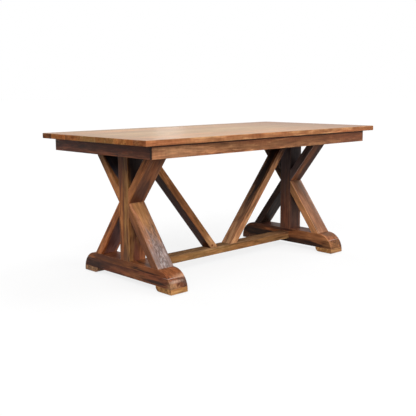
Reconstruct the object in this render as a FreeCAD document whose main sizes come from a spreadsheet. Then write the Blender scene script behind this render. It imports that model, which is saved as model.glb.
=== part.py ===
import FreeCAD, Part
import os
import re

import Sketcher
from FreeCAD import Placement, Rotation, Vector

# Trestle dining table in solid wood, millimetres.
# The origin is on the floor under the middle of the top: +X runs along the top, +Z is up.
# The front is the long side at -Y. A trestle stands near each end, at -X and at +X.

SIZES = {
    # Table top, glued up from boards that run the full length
    "table_length": 1800,
    "table_width": 900,
    "table_height": 785,
    "top_thickness": 28,
    "edge_ease": 2,
    # Apron frame under the top
    "end_overhang": 57,
    "side_overhang": 37,
    "apron_height": 66,
    "apron_thickness": 22,
    "corner_block_leg": 55,
    "corner_block_height": 45,
    # Trestles: post, bearer and raking braces share one depth
    "trestle_inset": 252.5,
    "trestle_depth": 106,
    "post_width": 80,
    "waist_height": 429,
    "brace_toe_gap": 3,
    "brace_thickness": 42,
    "bearer_end_gap": 14,
    "bearer_thickness": 30,
    "batten_width": 70,
    "batten_end_gap": 1,
    "post_tenon_breadth": 70,
    "post_tenon_thickness": 30,
    "post_tenon_top": 20,
    "post_tenon_foot": 25,
    # Feet: a beam with quarter-round ends on two pads
    "foot_inset": 73,
    "foot_width": 110,
    "beam_height": 85,
    "foot_end_radius": 102,
    "pad_length": 122,
    "pad_thickness": 27,
    "pad_inner_radius": 25,
    # Stretcher between the feet
    "stretcher_width": 72,
    "stretcher_thickness": 43,
    "stretcher_drop": 19,
    "stretcher_tenon_length": 18,
    "stretcher_tenon_width": 48,
    "stretcher_tenon_height": 23,
    # Struts from the stretcher to the heads of the posts
    "strut_width": 76,
    "strut_thickness": 42,
    "strut_gap": 106,
    # Dowels and the play that holes and mortises have
    "dowel_radius": 5,
    "dowel_length": 36,
    "drill_clearance": 0.1,
    "glue_gap": 1,
    # Countersunk wood screws
    "screw_head_radius": 4.5,
    "screw_head_height": 3,
    "screw_radius": 2.25,
    "bearer_screw_length": 35,
    "bearer_screw_sink": 10,
    "pad_screw_length": 45,
    "pad_screw_sink": 8,
    "strut_screw_length": 60,
    "strut_screw_sink": 12,
    "block_screw_length": 30,
    # Steel clips between apron and top
    "clip_width": 20,
    "clip_steel": 2,
    "clip_tongue": 6,
    "clip_reach": 6,
    "clip_flange": 18,
    "clip_groove_drop": 10,
    "clip_groove_height": 3,
    "clip_groove_depth": 8,
    "clip_screw_length": 16,
    "clip_screw_radius": 2,
    "clip_screw_head_radius": 4,
    "clip_screw_head_height": 2.5,
    # Levelling glides: moulded base on a steel stud that turns in a threaded insert
    "glide_base_radius": 19,
    "glide_base_height": 5,
    "glide_base_ease": 1.2,
    "stud_radius": 4,
    "stud_length": 38,
    "stud_seat_depth": 3,
    "stud_clearance": 0.05,
    "insert_radius": 6,
    "insert_length": 15,
    "glide_inset": 48,
    # How far every cut runs past the face that it opens
    "overrun": 5,
}

# Board widths across the top, from the front, as shares of its width
PLANK_WIDTH_SHARES = (0.107, 0.171, 0.169, 0.148, 0.155, 0.152, 0.098)
# Rows of dowels and screws across a member, as shares of its depth
ROW_SHARES = (-0.25, 0.25)
PAD_SCREW_SHARES = (-0.34, 0.34)
# Boards that each bearer and the batten are screwed to, and the place as a share of the board's width
BEARER_SCREW_SHARES = ((1, 0.2), (2, 0.5), (4, 0.5), (5, 0.75))
BATTEN_SCREW_SHARES = ((1, 0.5), (2, 0.5), (3, 0.5), (4, 0.5), (5, 0.5))
# Inner clips of a long apron, as a share of the way from the middle to a trestle
INNER_CLIP_SHARE = 0.55
# Boards, counted from the front, that the clips of the end aprons screw into
END_CLIP_PLANKS = (2, 4)
# Screws in a corner block: seat and line as shares of its leg, rows as shares of its height
BLOCK_SEAT_SHARE = 0.3
BLOCK_LINE_SHARE = 0.45
LONG_APRON_ROW_SHARE = 0.7
END_APRON_ROW_SHARE = 0.3
# Where a strut's screws enter its foot, as a share of the foot's length
STRUT_SCREW_SHARE = 0.7
# Largest fillet that a wall may take, as a share of the wall
FILLET_LIMIT_SHARE = 0.95

# Heights and places that several pieces share
TOP_UNDER = "(table_height - top_thickness)"
BEARER_UNDER = "(table_height - top_thickness - bearer_thickness)"
PAD_UNDER = "glide_base_height"
BEAM_UNDER = "(glide_base_height + pad_thickness)"
FOOT_TOP = "(glide_base_height + pad_thickness + beam_height)"
STRETCHER_TOP = f"({FOOT_TOP} - stretcher_drop)"
STRETCHER_UNDER = f"({FOOT_TOP} - stretcher_drop - stretcher_thickness)"
STRETCHER_TENON_UNDER = f"({STRETCHER_TOP} - (stretcher_thickness + stretcher_tenon_height) / 2)"
TRESTLE_X = "(table_length / 2 - trestle_inset)"
POST_INNER_X = f"({TRESTLE_X} - trestle_depth / 2)"
APRON_HALF_LENGTH = "(table_length / 2 - end_overhang)"
APRON_HALF_WIDTH = "(table_width / 2 - side_overhang)"
APRON_INNER_X = "(table_length / 2 - end_overhang - apron_thickness)"
APRON_INNER_Y = "(table_width / 2 - side_overhang - apron_thickness)"
BEARER_END_Y = f"({APRON_INNER_Y} - bearer_end_gap)"
FOOT_END_Y = "(table_width / 2 - foot_inset)"
GLIDE_Y = f"({FOOT_END_Y} - glide_inset)"
# The outer clips of a long apron stand midway between bearer and corner block.
OUTER_CLIP_X = f"(({TRESTLE_X} + trestle_depth / 2 + {APRON_INNER_X} - corner_block_leg) / 2)"

# Raking members: the level run and the rise of each; a brace's toe stands just inside the foot's rounded end
BRACE_RUN = f"({FOOT_END_Y} - foot_end_radius - brace_toe_gap - post_width / 2)"
LOWER_RISE = f"(waist_height - {FOOT_TOP})"
UPPER_RISE = f"({BEARER_UNDER} - waist_height)"
STRUT_RUN = f"({POST_INNER_X} - strut_gap / 2)"
STRUT_RISE = f"({TOP_UNDER} - {STRETCHER_TOP})"

# Each way that a rod can point, and the way back
UP = Vector(0, 0, 1)
WAYS = {
    "+x": Vector(1, 0, 0),
    "-x": Vector(-1, 0, 0),
    "+y": Vector(0, 1, 0),
    "-y": Vector(0, -1, 0),
    "+z": UP,
}
OPPOSITE = {"+x": "-x", "-x": "+x", "+y": "-y", "-y": "+y", "+z": "-z"}

FULL_TURN = 360
HALF_TURN = 180
QUARTER_TURN = 90

doc = FreeCAD.newDocument("TrestleTable")
sheet = doc.addObject("Spreadsheet::Sheet", "Sizes")
for row, (alias, value) in enumerate(SIZES.items(), start=1):
    sheet.set(f"A{row}", str(value))
    sheet.setAlias(f"A{row}", alias)
doc.recompute()

NAMES = re.compile(r"\b(" + "|".join(SIZES) + r")\b")
parts = []


# Binding sizes and places to the sheet

def bind(item, path, text):
    item.setExpression(path, NAMES.sub(r"Sizes.\1", str(text)))


def seat(item, point):
    for axis, text in zip("xyz", point):
        bind(item, f"Placement.Base.{axis}", text)


def new_part(name, point=("0", "0", "0"), turn=0):
    body = doc.addObject("PartDesign::Body", name)
    body.Label = name
    body.Placement = Placement(Vector(), Rotation(UP, turn))
    seat(body, point)
    parts.append(body)
    return body


def shifted(point, way, text):
    index = {"x": 0, "y": 1, "z": 2}[way[1]]
    moved = list(point)
    moved[index] = f"({moved[index]} {way[0]} ({text}))"
    return tuple(moved)


# Features that pieces are built from

def block(body, size, corner, cut=False):
    kind = "PartDesign::SubtractiveBox" if cut else "PartDesign::AdditiveBox"
    box = body.newObject(kind, body.Name + "_block")
    for path, text in zip(("Length", "Width", "Height"), size):
        bind(box, path, text)
    seat(box, corner)
    return box


def rod(body, radius, length, start, way, cut=False):
    kind = "PartDesign::SubtractiveCylinder" if cut else "PartDesign::AdditiveCylinder"
    cylinder = body.newObject(kind, body.Name + "_rod")
    cylinder.Placement = Placement(Vector(), Rotation(UP, WAYS[way]))
    bind(cylinder, "Radius", radius)
    bind(cylinder, "Height", length)
    seat(cylinder, start)
    return cylinder


def centred_rod(body, radius, length, centre, way, cut=False):
    start = shifted(centre, OPPOSITE[way], f"({length}) / 2")
    return rod(body, radius, length, start, way, cut)


# A prism's sides start as a regular ring, and its corners are then set from the sheet.

def prism(body, plane, corners, depth, both_sides):
    planes = {feature.Role: feature for feature in body.Origin.OriginFeatures}
    sketch = body.newObject("Sketcher::SketchObject", body.Name + "_outline")
    sketch.AttachmentSupport = [(planes[plane], "")]
    sketch.MapMode = "FlatFace"
    count = len(corners)
    reach = SIZES["table_height"]
    ring = [Rotation(UP, FULL_TURN * i / count).multVec(Vector(reach, 0, 0)) for i in range(count)]
    for i in range(count):
        sketch.addGeometry(Part.LineSegment(ring[i], ring[(i + 1) % count]), False)
    for i in range(count):
        sketch.addConstraint(Sketcher.Constraint("Coincident", i, 2, (i + 1) % count, 1))
    for i, corner in enumerate(corners):
        for kind, text in zip(("DistanceX", "DistanceY"), corner):
            number = sketch.addConstraint(Sketcher.Constraint(kind, -1, 1, i, 1, reach))
            bind(sketch, f"Constraints[{number}]", text)
    pad = body.newObject("PartDesign::Pad", body.Name + "_pad")
    pad.Profile = sketch
    pad.SideType = "Symmetric" if both_sides else "One side"
    bind(pad, "Length", depth)


def round_edges(body, feature, radius, wanted):
    doc.recompute()
    names = []
    for number, edge in enumerate(feature.Shape.Edges, start=1):
        if wanted(edge.BoundBox):
            names.append(f"Edge{number}")
    fillet = body.newObject("PartDesign::Fillet", body.Name + "_round")
    fillet.Base = (feature, names)
    bind(fillet, "Radius", radius)
    return fillet


# Two places are the same when they lie closer than the finest clearance.

def near(one, other):
    return abs(one - other) < SIZES["stud_clearance"]


# Screws: a head behind the seat and a shank ahead of it, and the holes that they need

def add_screw(body, seat_point, way, length, small=False):
    kind = "clip_screw" if small else "screw"
    head_start = shifted(seat_point, OPPOSITE[way], f"{kind}_head_height")
    rod(body, f"{kind}_head_radius", f"{kind}_head_height", head_start, way)
    rod(body, f"{kind}_radius", length, seat_point, way)


def shank_hole(body, start, way, length, small=False):
    radius = "clip_screw_radius" if small else "screw_radius"
    rod(body, f"{radius} + drill_clearance", length, start, way, cut=True)


def head_hole(body, seat_point, way, sink):
    start = shifted(seat_point, OPPOSITE[way], f"{sink} + overrun")
    rod(body, "screw_head_radius + drill_clearance", f"{sink} + overrun", start, way, cut=True)


def dowel_hole(body, centre, way):
    centred_rod(body, "dowel_radius + drill_clearance", "dowel_length + 2 * glue_gap", centre, way, cut=True)


# Table top

def plank_edges():
    edges = [0.0]
    for share in PLANK_WIDTH_SHARES:
        edges.append(edges[-1] + share)
    return edges


def plank_place(index, share):
    place_share = plank_edges()[index] + share * PLANK_WIDTH_SHARES[index] - 0.5
    return f"({place_share:.9f} * table_width)"


# The boards that something at a place across the top reaches into: two where it sits on a joint

def boards_at(planks, place, reach):
    edges = [(share - 0.5) * SIZES["table_width"] for share in plank_edges()]
    spans = zip(planks, edges, edges[1:])
    return [plank for plank, low, high in spans if low - reach < place < high + reach]


# The rim of the whole top is eased, and the joints between boards stay square.

def on_rim(box):
    on_end = near(abs(box.XMin), SIZES["table_length"] / 2) and near(box.XMin, box.XMax)
    on_side = near(abs(box.YMin), SIZES["table_width"] / 2) and near(box.YMin, box.YMax)
    upright = box.ZLength > box.XLength + box.YLength
    return (on_end and on_side) if upright else (on_end or on_side)


def make_planks():
    planks = []
    for index, share in enumerate(PLANK_WIDTH_SHARES):
        body = new_part(f"top_plank_{index + 1}")
        corner = ("-table_length / 2", plank_place(index, 0), TOP_UNDER)
        board = block(body, ("table_length", f"{share} * table_width", "top_thickness"), corner)
        round_edges(body, board, "edge_ease", on_rim)
        planks.append(body)
    return planks


# Members under the top, and the screws that hold the boards to them

def fasten_boards(member, planks, screws, member_x, screw_shares):
    seat_height = f"({BEARER_UNDER} + bearer_screw_sink)"
    joint_height = f"({TOP_UNDER} - overrun)"
    pilot = "overrun + bearer_screw_length + bearer_screw_sink - bearer_thickness + glue_gap"
    for index, share in screw_shares:
        place = plank_place(index, share)
        head_hole(member, ("0", place, seat_height), "+z", "bearer_screw_sink")
        shank_hole(member, ("0", place, seat_height), "+z", "bearer_thickness")
        shank_hole(planks[index], (member_x, place, joint_height), "+z", pilot)
        add_screw(screws, (member_x, place, seat_height), "+z", "bearer_screw_length")


def make_bearer(name, x_text):
    body = new_part(name, (x_text, "0", "0"))
    size = ("trestle_depth", f"2 * {BEARER_END_Y}", "bearer_thickness")
    block(body, size, ("-trestle_depth / 2", f"-{BEARER_END_Y}", BEARER_UNDER))
    mortise = ("post_tenon_breadth", "post_tenon_thickness", "post_tenon_top + glue_gap + overrun")
    corner = ("-post_tenon_breadth / 2", "-post_tenon_thickness / 2", f"({BEARER_UNDER} - overrun)")
    block(body, mortise, corner, cut=True)
    for side in ("+", "-"):
        for centre in end_dowels(side, UPPER_RISE, BEARER_UNDER):
            dowel_hole(body, centre, "+z")
    return body


def make_batten():
    body = new_part("centre_batten")
    half = f"({APRON_INNER_Y} - batten_end_gap)"
    size = ("batten_width", f"2 * {half}", "bearer_thickness")
    block(body, size, ("-batten_width / 2", f"-{half}", BEARER_UNDER))
    return body


# Apron frame: each apron is made as the front one and turned to its side

def make_apron(name, half_span, half_across, turn, row_share):
    body = new_part(name, ("0", "0", f"{TOP_UNDER} - apron_height"), turn)
    inner_span = f"({half_span} - apron_thickness)"
    inner_across = f"({half_across} - apron_thickness)"
    corners = [
        (f"-{half_span}", f"-{half_across}"),
        (half_span, f"-{half_across}"),
        (inner_span, f"-{inner_across}"),
        (f"-{inner_span}", f"-{inner_across}"),
    ]
    prism(body, "XY_Plane", corners, "apron_height", both_sides=False)
    groove = (f"2 * {inner_span}", "clip_groove_depth + overrun", "clip_groove_height")
    groove_height = "apron_height - clip_groove_drop - clip_groove_height"
    block(body, groove, (f"-{inner_span}", f"-{inner_across} - clip_groove_depth", groove_height), cut=True)
    height = f"apron_height - corner_block_height * {row_share}"
    depth = f"overrun + block_screw_length - {BLOCK_SEAT_SHARE} * corner_block_leg + glue_gap"
    for side in ("+", "-"):
        place = f"({side}({inner_span} - {BLOCK_LINE_SHARE} * corner_block_leg))"
        shank_hole(body, (place, f"(-{inner_across} + overrun)", height), "-y", depth)
    return body


def make_corner_block(name, x_side, y_side, screws):
    body = new_part(name, ("0", "0", f"{TOP_UNDER} - corner_block_height"))
    inner_x = f"({x_side}{APRON_INNER_X})"
    inner_y = f"({y_side}{APRON_INNER_Y})"
    leg_x = f"({x_side}({APRON_INNER_X} - corner_block_leg))"
    leg_y = f"({y_side}({APRON_INNER_Y} - corner_block_leg))"
    corners = [(inner_x, inner_y), (leg_x, inner_y), (inner_x, leg_y)]
    prism(body, "XY_Plane", corners, "corner_block_height", both_sides=False)
    line_x = f"({x_side}({APRON_INNER_X} - {BLOCK_LINE_SHARE} * corner_block_leg))"
    line_y = f"({y_side}({APRON_INNER_Y} - {BLOCK_LINE_SHARE} * corner_block_leg))"
    seat_x = f"({x_side}({APRON_INNER_X} - {BLOCK_SEAT_SHARE} * corner_block_leg))"
    seat_y = f"({y_side}({APRON_INNER_Y} - {BLOCK_SEAT_SHARE} * corner_block_leg))"
    screw_lines = (
        (line_x, seat_y, LONG_APRON_ROW_SHARE, f"{y_side}y"),
        (seat_x, line_y, END_APRON_ROW_SHARE, f"{x_side}x"),
    )
    for x_text, y_text, row_share, way in screw_lines:
        in_block = (x_text, y_text, f"corner_block_height * {1 - row_share:.2f}")
        head_hole(body, in_block, way, "corner_block_leg")
        shank_hole(body, in_block, way, "corner_block_leg")
        in_frame = (x_text, y_text, f"{TOP_UNDER} - corner_block_height * {row_share}")
        add_screw(screws, in_frame, way, "block_screw_length")
    return body


# Steel clips: a tongue in the apron's groove, a riser, and a flange screwed to the top

def add_clip(clips, screws, way, along, boards):
    face = APRON_INNER_Y if way[1] == "y" else APRON_INNER_X
    riser_end = "clip_reach + clip_steel"
    low = f"{TOP_UNDER} - clip_groove_drop - clip_steel"
    high = f"{TOP_UNDER} - clip_steel"
    slabs = (
        ("-clip_tongue", riser_end, low, "clip_steel"),
        ("clip_reach", riser_end, low, "clip_groove_drop + clip_steel"),
        ("clip_reach", f"{riser_end} + clip_flange", high, "clip_steel"),
    )
    for start, end, height, thickness in slabs:
        across = f"({end}) - ({start})"
        corner = f"({face} - ({end}))" if way[0] == "+" else f"(({start}) - {face})"
        if way[1] == "y":
            block(clips, ("clip_width", across, thickness), (f"{along} - clip_width / 2", corner, height))
        else:
            block(clips, (across, "clip_width", thickness), (corner, f"{along} - clip_width / 2", height))
    inward = f"({way[0]}({face} - clip_reach - clip_steel - clip_flange / 2))"
    point = (along, inward) if way[1] == "y" else (inward, along)
    add_screw(screws, (*point, f"({high})"), "+z", "clip_screw_length", small=True)
    pilot = "overrun + clip_screw_length - clip_steel + glue_gap"
    for board in boards:
        shank_hole(board, (*point, f"({TOP_UNDER} - overrun)"), "+z", pilot, small=True)
    return (*point, f"({high} - overrun)")


def make_clips(planks):
    clips = new_part("apron_clips")
    screws = new_part("apron_clip_screws")
    holes = []
    apron_inner = SIZES["table_width"] / 2 - SIZES["side_overhang"] - SIZES["apron_thickness"]
    screw_line = apron_inner - SIZES["clip_reach"] - SIZES["clip_steel"] - SIZES["clip_flange"] / 2
    for way, place in (("-y", -screw_line), ("+y", screw_line)):
        boards = boards_at(planks, place, SIZES["clip_screw_radius"] + SIZES["drill_clearance"])
        for along in (OUTER_CLIP_X, f"({INNER_CLIP_SHARE} * {TRESTLE_X})"):
            for hand in ("-", "+"):
                holes.append(add_clip(clips, screws, way, f"({hand}{along})", boards))
    for index in END_CLIP_PLANKS:
        for way in ("-x", "+x"):
            holes.append(add_clip(clips, screws, way, plank_place(index, 0.5), [planks[index]]))
    for start in holes:
        shank_hole(clips, start, "+z", "clip_steel + 2 * overrun", small=True)


# Raking members: ends cut level and upright, so each end is longer than the board is thick

def slope_length(run, rise):
    return f"sqrt(({run})^2 + ({rise})^2)"


def level_cut(run, rise, thickness):
    return f"({thickness} * {slope_length(run, rise)} / ({rise}))"


def upright_cut(run, rise, thickness):
    return f"({thickness} * {slope_length(run, rise)} / ({run}))"


def end_dowels(side, rise, height):
    reach = f"(post_width / 2 + {BRACE_RUN} - {level_cut(BRACE_RUN, rise, 'brace_thickness')} / 2)"
    return [(f"({share} * trestle_depth)", f"({side}{reach})", height) for share in ROW_SHARES]


def waist_dowels(side, rise, sign):
    height = f"(waist_height {sign} {upright_cut(BRACE_RUN, rise, 'brace_thickness')} / 2)"
    return [(f"({share} * trestle_depth)", f"({side}post_width / 2)", height) for share in ROW_SHARES]


def make_brace(name, x_text, turn, upper):
    body = new_part(name, (x_text, "0", "0"), turn)
    rise, height, sign = (UPPER_RISE, BEARER_UNDER, "+") if upper else (LOWER_RISE, FOOT_TOP, "-")
    toe = f"post_width / 2 + {BRACE_RUN}"
    corners = [
        ("post_width / 2", "waist_height"),
        (toe, height),
        (f"{toe} - {level_cut(BRACE_RUN, rise, 'brace_thickness')}", height),
        ("post_width / 2", f"waist_height {sign} {upright_cut(BRACE_RUN, rise, 'brace_thickness')}"),
    ]
    prism(body, "YZ_Plane", corners, "trestle_depth", both_sides=True)
    for centre in end_dowels("+", rise, height):
        dowel_hole(body, centre, "+z")
    for centre in waist_dowels("+", rise, sign):
        dowel_hole(body, centre, "+y")
    return body


def make_trestle_dowels(name, x_text):
    body = new_part(name, (x_text, "0", "0"))
    for side in ("+", "-"):
        for rise, height, sign in ((UPPER_RISE, BEARER_UNDER, "+"), (LOWER_RISE, FOOT_TOP, "-")):
            for centre in end_dowels(side, rise, height):
                centred_rod(body, "dowel_radius", "dowel_length", centre, "+z")
            for centre in waist_dowels(side, rise, sign):
                centred_rod(body, "dowel_radius", "dowel_length", centre, "+y")
    return body


# Post, with a tenon at each end; its inner face, at -X before it is turned, takes the strut

def strut_dowels(x_text):
    height = f"(({BEARER_UNDER} + {TOP_UNDER} - {upright_cut(STRUT_RUN, STRUT_RISE, 'strut_thickness')}) / 2)"
    return [(x_text, f"({share} * strut_width)", height) for share in ROW_SHARES]


def make_post(name, x_text, turn):
    body = new_part(name, (x_text, "0", "0"), turn)
    length = f"({BEARER_UNDER} - {FOOT_TOP})"
    block(body, ("trestle_depth", "post_width", length), ("-trestle_depth / 2", "-post_width / 2", FOOT_TOP))
    tenon = ("post_tenon_breadth", "post_tenon_thickness", f"{length} + post_tenon_foot + post_tenon_top")
    corner = ("-post_tenon_breadth / 2", "-post_tenon_thickness / 2", f"{FOOT_TOP} - post_tenon_foot")
    block(body, tenon, corner)
    for side in ("+", "-"):
        for centre in waist_dowels(side, UPPER_RISE, "+") + waist_dowels(side, LOWER_RISE, "-"):
            dowel_hole(body, centre, "+y")
    for centre in strut_dowels("(-trestle_depth / 2)"):
        dowel_hole(body, centre, "+x")
    return body


# Feet: beam and pads are cut from one blank, so that their rounded ends run through

def foot_blank(body):
    height = "(pad_thickness + beam_height)"
    corner = ("-foot_width / 2", f"-{FOOT_END_Y}", PAD_UNDER)
    blank = block(body, ("foot_width", f"2 * {FOOT_END_Y}", height), corner)
    top = SIZES["glide_base_height"] + SIZES["pad_thickness"] + SIZES["beam_height"]

    def top_end(box):
        return near(box.ZMin, top) and near(box.ZMax, top) and near(box.YMin, box.YMax)

    radius = f"min(foot_end_radius; {FILLET_LIMIT_SHARE} * {height})"
    return round_edges(body, blank, radius, top_end)


def cut_blank(body, length, start_z, height):
    size = ("foot_width + 2 * overrun", length, height)
    return block(body, size, ("-foot_width / 2 - overrun", f"-{FOOT_END_Y} - overrun", start_z), cut=True)


def pad_screw_points(side):
    height = f"({PAD_UNDER} + pad_screw_sink)"
    return [(f"({share} * foot_width)", f"({side}{GLIDE_Y})", height) for share in PAD_SCREW_SHARES]


def stud_hole(body, side):
    start = ("0", f"({side}{GLIDE_Y})", PAD_UNDER)
    rod(body, "stud_radius + glue_gap", "stud_length + glue_gap", start, "+z", cut=True)


def make_foot_beam(name, x_text, turn):
    body = new_part(name, (x_text, "0", "0"), turn)
    foot_blank(body)
    cut_blank(body, f"2 * {FOOT_END_Y} + 2 * overrun", f"{PAD_UNDER} - overrun", "pad_thickness + overrun")
    mortise = ("post_tenon_breadth", "post_tenon_thickness", "post_tenon_foot + glue_gap + overrun")
    deep = f"{FOOT_TOP} - post_tenon_foot - glue_gap"
    block(body, mortise, ("-post_tenon_breadth / 2", "-post_tenon_thickness / 2", deep), cut=True)
    slot = ("stretcher_tenon_length + glue_gap + overrun", "stretcher_tenon_width", "stretcher_tenon_height")
    corner = ("-foot_width / 2 - overrun", "-stretcher_tenon_width / 2", STRETCHER_TENON_UNDER)
    block(body, slot, corner, cut=True)
    pilot = "overrun + pad_screw_length + pad_screw_sink - pad_thickness + glue_gap"
    for side in ("+", "-"):
        stud_hole(body, side)
        for centre in end_dowels(side, LOWER_RISE, FOOT_TOP):
            dowel_hole(body, centre, "+z")
        for x_text, y_text, _ in pad_screw_points(side):
            shank_hole(body, (x_text, y_text, f"({BEAM_UNDER} - overrun)"), "+z", pilot)
    return body


def make_pad(name, x_text, turn):
    body = new_part(name, (x_text, "0", "0"), turn)
    foot_blank(body)
    cut_blank(body, f"2 * {FOOT_END_Y} + 2 * overrun", BEAM_UNDER, "beam_height + overrun")
    past_pad = "pad_thickness + 2 * overrun"
    end = cut_blank(body, f"2 * {FOOT_END_Y} - pad_length + overrun", f"{PAD_UNDER} - overrun", past_pad)
    under = SIZES["glide_base_height"]
    inner = SIZES["table_width"] / 2 - SIZES["foot_inset"] - SIZES["pad_length"]

    def inner_lower(box):
        return near(box.ZMax, under) and near(box.YMin, inner) and near(box.YMax, inner)

    round_edges(body, end, f"min(pad_inner_radius; {FILLET_LIMIT_SHARE} * pad_thickness)", inner_lower)
    stud_hole(body, "+")
    insert_start = ("0", GLIDE_Y, f"({PAD_UNDER} - overrun)")
    rod(body, "insert_radius + drill_clearance", "insert_length + overrun", insert_start, "+z", cut=True)
    for point in pad_screw_points("+"):
        head_hole(body, point, "+z", "pad_screw_sink")
        shank_hole(body, point, "+z", "pad_thickness")
    return body


# Stretcher and struts; a strut is made as the right one

def strut_screw_points(side):
    foot = level_cut(STRUT_RUN, STRUT_RISE, "strut_thickness")
    x_text = f"({side}(strut_gap / 2 + {STRUT_SCREW_SHARE} * {foot}))"
    height = f"({STRETCHER_UNDER} + strut_screw_sink)"
    return [(x_text, f"({share} * strut_width)", height) for share in ROW_SHARES]


def make_stretcher():
    body = new_part("stretcher")
    half = f"({TRESTLE_X} - foot_width / 2)"
    size = (f"2 * {half}", "stretcher_width", "stretcher_thickness")
    block(body, size, (f"-{half}", "-stretcher_width / 2", STRETCHER_UNDER))
    reach = f"({half} + stretcher_tenon_length)"
    tenon = (f"2 * {reach}", "stretcher_tenon_width", "stretcher_tenon_height")
    block(body, tenon, (f"-{reach}", "-stretcher_tenon_width / 2", STRETCHER_TENON_UNDER))
    for side in ("+", "-"):
        for point in strut_screw_points(side):
            head_hole(body, point, "+z", "strut_screw_sink")
            shank_hole(body, point, "+z", "stretcher_thickness")
    return body


def make_strut(name, turn):
    body = new_part(name, turn=turn)
    corners = [
        (POST_INNER_X, TOP_UNDER),
        ("strut_gap / 2", STRETCHER_TOP),
        (f"strut_gap / 2 + {level_cut(STRUT_RUN, STRUT_RISE, 'strut_thickness')}", STRETCHER_TOP),
        (POST_INNER_X, f"{TOP_UNDER} - {upright_cut(STRUT_RUN, STRUT_RISE, 'strut_thickness')}"),
    ]
    prism(body, "XZ_Plane", corners, "strut_width", both_sides=True)
    for centre in strut_dowels(POST_INNER_X):
        dowel_hole(body, centre, "+x")
    pilot = "overrun + strut_screw_length + strut_screw_sink - stretcher_thickness + glue_gap"
    for x_text, y_text, _ in strut_screw_points("+"):
        shank_hole(body, (x_text, y_text, f"({STRETCHER_TOP} - overrun)"), "+z", pilot)
    return body


def make_strut_fasteners():
    dowels = new_part("strut_dowels")
    screws = new_part("strut_screws")
    for side in ("+", "-"):
        for centre in strut_dowels(f"({side}{POST_INNER_X})"):
            centred_rod(dowels, "dowel_radius", "dowel_length", centre, "+x")
        for point in strut_screw_points(side):
            add_screw(screws, point, "+z", "strut_screw_length")


# Levelling glides, their inserts and the pad screws

def make_inserts(corners):
    inserts = new_part("glide_inserts")
    places = [(x_text, f"({side}{GLIDE_Y})") for _, x_text, side in corners]
    for place in places:
        rod(inserts, "insert_radius", "insert_length", (*place, PAD_UNDER), "+z")
    for place in places:
        start = (*place, f"({PAD_UNDER} - overrun)")
        rod(inserts, "stud_radius + stud_clearance", "insert_length + 2 * overrun", start, "+z", cut=True)


def make_glide(corner, x_text, side):
    base = new_part(f"{corner}_glide_base", (x_text, f"{side}{GLIDE_Y}", "0"))
    disc = rod(base, "glide_base_radius", "glide_base_height", ("0", "0", "0"), "+z")

    def rim(box):
        return near(box.ZMin, box.ZMax) and box.XLength > SIZES["glide_base_radius"]

    round_edges(base, disc, f"min(glide_base_ease; {FILLET_LIMIT_SHARE} * glide_base_height / 2)", rim)
    socket = ("0", "0", "glide_base_height - stud_seat_depth")
    rod(base, "stud_radius + drill_clearance", "stud_seat_depth + overrun", socket, "+z", cut=True)
    stud = new_part(f"{corner}_glide_stud", (x_text, f"{side}{GLIDE_Y}", "0"))
    rod(stud, "stud_radius", "stud_length", socket, "+z")


def make_pad_screws(corners):
    screws = new_part("pad_screws")
    for _, x_text, side in corners:
        for point in pad_screw_points(side):
            add_screw(screws, (f"({x_text} + {point[0]})", point[1], point[2]), "+z", "pad_screw_length")


# The whole table: a piece made for the right or the rear is turned half round for the other side

def make_trestle(hand, x_text, turn, planks, top_screws):
    make_post(f"{hand}_post", x_text, turn)
    bearer = make_bearer(f"{hand}_bearer", x_text)
    fasten_boards(bearer, planks, top_screws, x_text, BEARER_SCREW_SHARES)
    make_foot_beam(f"{hand}_foot_beam", x_text, turn)
    for face, face_turn in (("front", HALF_TURN), ("rear", 0)):
        make_brace(f"{hand}_{face}_upper_brace", x_text, face_turn, upper=True)
        make_brace(f"{hand}_{face}_lower_brace", x_text, face_turn, upper=False)
        make_pad(f"{hand}_{face}_pad", x_text, face_turn)
    make_trestle_dowels(f"{hand}_trestle_dowels", x_text)


def make_table():
    planks = make_planks()
    top_screws = new_part("top_screws")
    hands = (("left", f"(-{TRESTLE_X})", HALF_TURN), ("right", TRESTLE_X, 0))
    for hand, x_text, turn in hands:
        make_trestle(hand, x_text, turn, planks, top_screws)
    fasten_boards(make_batten(), planks, top_screws, "0", BATTEN_SCREW_SHARES)
    for name, turn in (("front_apron", 0), ("rear_apron", HALF_TURN)):
        make_apron(name, APRON_HALF_LENGTH, APRON_HALF_WIDTH, turn, LONG_APRON_ROW_SHARE)
    for name, turn in (("right_apron", QUARTER_TURN), ("left_apron", -QUARTER_TURN)):
        make_apron(name, APRON_HALF_WIDTH, APRON_HALF_LENGTH, turn, END_APRON_ROW_SHARE)
    block_screws = new_part("corner_block_screws")
    for hand, x_side in (("left", "-"), ("right", "+")):
        for face, y_side in (("front", "-"), ("rear", "+")):
            make_corner_block(f"{hand}_{face}_corner_block", x_side, y_side, block_screws)
    make_clips(planks)
    make_stretcher()
    make_strut("right_strut", 0)
    make_strut("left_strut", HALF_TURN)
    make_strut_fasteners()
    corners = []
    for hand, x_text, _ in hands:
        corners += [(f"{hand}_front", x_text, "-"), (f"{hand}_rear", x_text, "+")]
    make_inserts(corners)
    make_pad_screws(corners)
    for corner, x_text, side in corners:
        make_glide(corner, x_text, side)


def write_parts():
    doc.recompute()
    for item in doc.Objects:
        if {"Invalid", "Error"} & set(item.State):
            raise RuntimeError(f"{item.Label} failed: {item.State}")
    os.makedirs("parts", exist_ok=True)
    for body in parts:
        if body.Shape.isNull() or not body.Shape.isValid():
            raise RuntimeError(f"{body.Label} has no sound shape")
    for body in parts:
        body.Shape.exportStep(f"parts/{body.Label}.step")
        print(f"{body.Label}: {len(body.Shape.Solids)} solid(s), {body.Shape.Volume:.0f} mm3")


make_table()
write_parts()
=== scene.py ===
import math

import bmesh
import bpy
from mathutils import Euler, Matrix, Vector


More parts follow.
